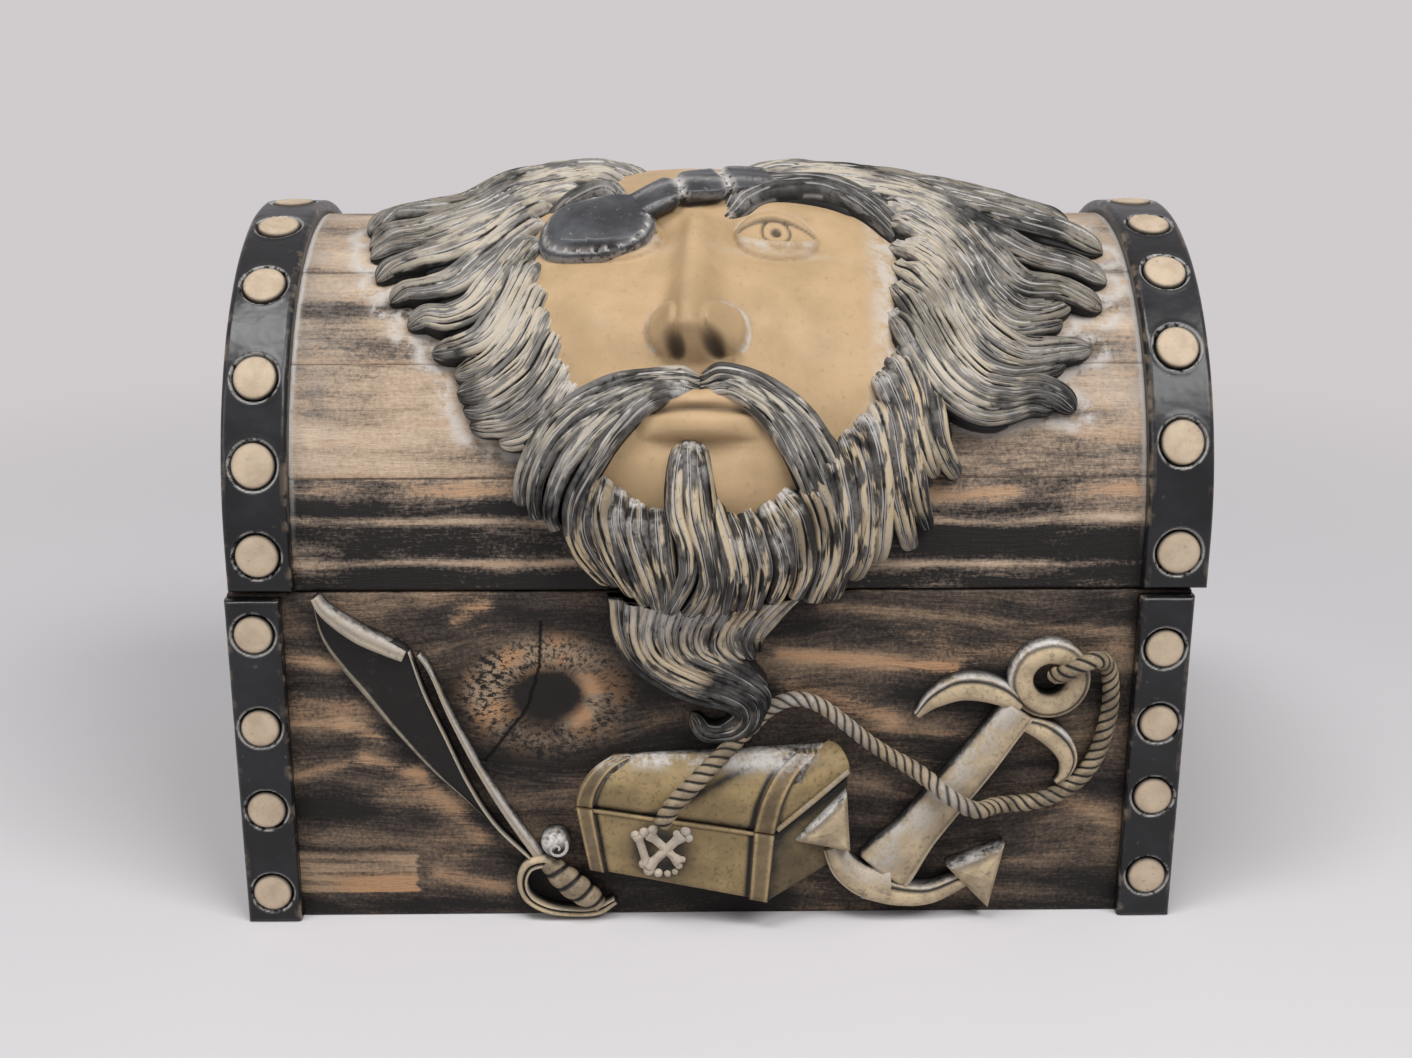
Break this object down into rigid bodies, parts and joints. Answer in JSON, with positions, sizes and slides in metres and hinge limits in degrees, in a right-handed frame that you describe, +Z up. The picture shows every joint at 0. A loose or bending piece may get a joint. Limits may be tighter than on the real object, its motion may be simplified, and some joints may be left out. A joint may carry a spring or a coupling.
{
  "type": "treasure chest",
  "caption": "Domed wooden treasure chest with a hinged coopered lid, studded straps, a carved bearded head with an eye patch on the lid, and a carved cutlass, small chest and anchor on the front.",
  "frame": {"origin": "centre of the underside, halfway along the base and halfway between its front and back boards", "axes": "+X right as seen from the front, +Y from front to back, +Z up"},
  "size_m": [0.3034, 0.2048, 0.2347],
  "materials": {
    "base_wood": "dark brown stain, brushed, satin",
    "lid_wood": "dark brown stain worn to tan along the grain",
    "strap_paint": "gloss black paint",
    "stud_paint": "flat tan paint",
    "hinge_brass": "dull brass",
    "skin_paint": "khaki tan paint, eggshell, pale dust in the creases",
    "hair_paint": "black paint dry-brushed with grey and tan",
    "patch_paint": "gloss blue-black paint",
    "carving_paint": "tan paint over black, dusty",
    "blade_paint": "near-black paint with tan edges",
    "gold_paint": "old-gold paint, dusty"
  },
  "bodies": {
    "base": {"base_front_board": "base_wood", "base_back_board": "base_wood", "base_left_end": "base_wood", "base_right_end": "base_wood", "base_bottom": "base_wood", "base_strap_front_left": "strap_paint", "base_strap_front_right": "strap_paint", "base_strap_back_left": "strap_paint", "base_strap_back_right": "strap_paint", "base_studs_front": "stud_paint", "base_studs_back": "stud_paint", "hinge_leaf_base_left": "hinge_brass", "hinge_leaf_base_right": "hinge_brass", "hinge_pin_left": "hinge_brass", "hinge_pin_right": "hinge_brass", "hinge_screws_base": "hinge_brass", "beard_tip": "hair_paint", "cutlass_blade": "blade_paint", "cutlass_guard": "carving_paint", "cutlass_grip": "blade_paint", "mini_chest_box": "gold_paint", "mini_chest_lid": "gold_paint", "mini_chest_bands": "carving_paint", "mini_chest_emblem": "carving_paint", "anchor_ring": "carving_paint", "anchor_shank": "carving_paint", "anchor_stock": "carving_paint", "anchor_arms": "carving_paint", "rope": "carving_paint"},
    "lid": {"lid_front_rail": "lid_wood", "lid_stave_1": "lid_wood", "lid_stave_2": "lid_wood", "lid_stave_3": "lid_wood", "lid_stave_4": "lid_wood", "lid_stave_5": "lid_wood", "lid_stave_6": "lid_wood", "lid_stave_7": "lid_wood", "lid_back_rail": "lid_wood", "lid_left_end": "lid_wood", "lid_right_end": "lid_wood", "lid_strap_left": "strap_paint", "lid_strap_right": "strap_paint", "lid_studs_left": "stud_paint", "lid_studs_right": "stud_paint", "hinge_leaf_lid_left": "hinge_brass", "hinge_leaf_lid_right": "hinge_brass", "hinge_screws_lid": "hinge_brass", "face": "skin_paint", "eye_patch": "patch_paint", "eyebrows": "hair_paint", "moustache": "hair_paint", "beard": "hair_paint", "hair_left": "hair_paint", "hair_right": "hair_paint"}
  },
  "joints": [
    {"name": "lid_hinge", "type": "hinge", "parent": "base", "child": "lid", "pos_m": [0, 0.0896, 0.1123], "axis": [-1, 0, 0], "range_deg": [0, 105]}
  ]
}
